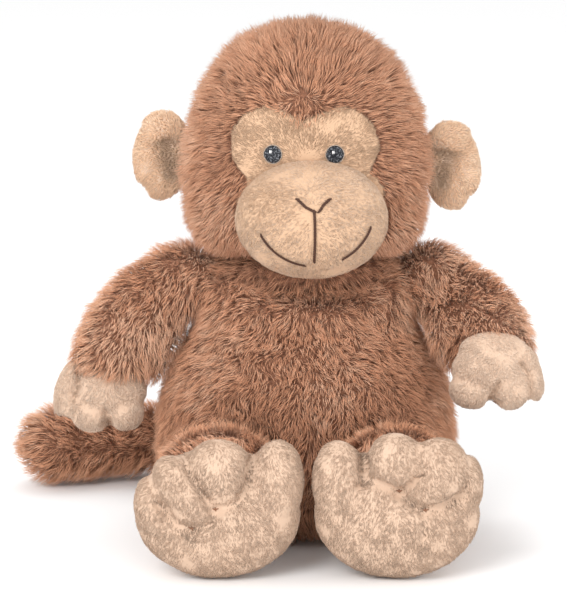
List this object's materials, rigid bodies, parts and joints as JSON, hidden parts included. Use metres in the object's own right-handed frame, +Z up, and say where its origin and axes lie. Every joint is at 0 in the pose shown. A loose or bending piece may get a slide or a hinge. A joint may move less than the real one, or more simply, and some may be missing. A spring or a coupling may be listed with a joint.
{
  "type": "stuffed monkey",
  "caption": "Seated plush monkey with long brown pile, tan short-pile face, ears, hands and feet, embroidered features and a thick curled tail.",
  "frame": {"origin": "middle of the flat seat under the torso, on the surface that it sits on", "axes": "+Z up, -Y the way the belly faces, +X to the monkey's left"},
  "size_m": [0.2605, 0.2274, 0.245],
  "materials": {
    "long_pile": "long soft pile",
    "short_pile": "short brushed pile",
    "stuffing": "loose polyester fibre",
    "muslin": "plain weave",
    "eye_thread": "satin stitch",
    "white_thread": "satin stitch",
    "brown_thread": "satin stitch",
    "tan_thread": "matt thread"
  },
  "bodies": {
    "torso": {"torso_cover": "long_pile", "torso_stuffing": "stuffing", "bean_pouch": "muslin"},
    "neck": {"neck_stuffing": "stuffing"},
    "head": {"head_cover": "long_pile", "head_stuffing": "stuffing", "face_panel": "short_pile", "muzzle_cover": "short_pile", "muzzle_stuffing": "stuffing", "eye_left": "eye_thread", "eye_right": "eye_thread", "eye_glints": "white_thread", "nose_stitch": "brown_thread", "mouth_stitch": "brown_thread"},
    "tail_base": {"tail_base_cover": "long_pile", "tail_base_stuffing": "stuffing"},
    "tail_end": {"tail_end_cover": "long_pile", "tail_end_stuffing": "stuffing"},
    "ear_left": {"ear_left_front": "short_pile", "ear_left_back": "short_pile"},
    "arm_left": {"arm_left_cover": "long_pile", "arm_left_stuffing": "stuffing", "hand_left_cover": "short_pile", "hand_left_stuffing": "stuffing"},
    "leg_left": {"leg_left_cover": "long_pile", "leg_left_stuffing": "stuffing", "foot_left_cover": "short_pile", "foot_left_stuffing": "stuffing", "foot_left_tacks": "tan_thread"},
    "ear_right": {"ear_right_front": "short_pile", "ear_right_back": "short_pile"},
    "arm_right": {"arm_right_cover": "long_pile", "arm_right_stuffing": "stuffing", "hand_right_cover": "short_pile", "hand_right_stuffing": "stuffing"},
    "leg_right": {"leg_right_cover": "long_pile", "leg_right_stuffing": "stuffing", "foot_right_cover": "short_pile", "foot_right_stuffing": "stuffing", "foot_right_tacks": "tan_thread"}
  },
  "joints": [
    {"name": "neck_turn", "type": "hinge", "parent": "torso", "child": "neck", "pos_m": [0, 0, 0.124], "axis": [0, 0, 1], "range_deg": [-18, 18], "stiffness_Nm_per_rad": 0.4},
    {"name": "head_nod", "type": "hinge", "parent": "neck", "child": "head", "pos_m": [0, 0, 0.124], "axis": [1, 0, 0], "range_deg": [-8, 8], "stiffness_Nm_per_rad": 1.2},
    {"name": "ear_left_flap", "type": "hinge", "parent": "head", "child": "ear_left", "pos_m": [0.05892, 0.00146, 0.1745], "axis": [0, 0, 1], "range_deg": [-18, 18], "stiffness_Nm_per_rad": 0.02},
    {"name": "ear_right_flap", "type": "hinge", "parent": "head", "child": "ear_right", "pos_m": [-0.05847, 0.00453, 0.179], "axis": [0, 0, -1], "range_deg": [-18, 18], "stiffness_Nm_per_rad": 0.02},
    {"name": "arm_left_raise", "type": "hinge", "parent": "torso", "child": "arm_left", "pos_m": [0.0547, 0.003, 0.115], "axis": [0, -1, 0], "range_deg": [-3, 30], "stiffness_Nm_per_rad": 0.25},
    {"name": "arm_right_raise", "type": "hinge", "parent": "torso", "child": "arm_right", "pos_m": [-0.0547, 0.003, 0.115], "axis": [0, 1, 0], "range_deg": [-3, 30], "stiffness_Nm_per_rad": 0.25},
    {"name": "leg_left_lift", "type": "hinge", "parent": "torso", "child": "leg_left", "pos_m": [0.037, -0.05, 0.03], "axis": [-1, 0, 0], "range_deg": [0, 20], "stiffness_Nm_per_rad": 0.3},
    {"name": "leg_right_lift", "type": "hinge", "parent": "torso", "child": "leg_right", "pos_m": [-0.037, -0.05, 0.03], "axis": [-1, 0, 0], "range_deg": [0, 20], "stiffness_Nm_per_rad": 0.3},
    {"name": "tail_swing", "type": "hinge", "parent": "torso", "child": "tail_base", "pos_m": [-0.008, 0.059, 0.025], "axis": [0, 0, 1], "range_deg": [-12, 8], "stiffness_Nm_per_rad": 0.2},
    {"name": "tail_bend", "type": "hinge", "parent": "tail_base", "child": "tail_end", "pos_m": [-0.068, 0.084, 0.021], "axis": [0, 0, 1], "range_deg": [-18, 18], "stiffness_Nm_per_rad": 0.1}
  ]
}
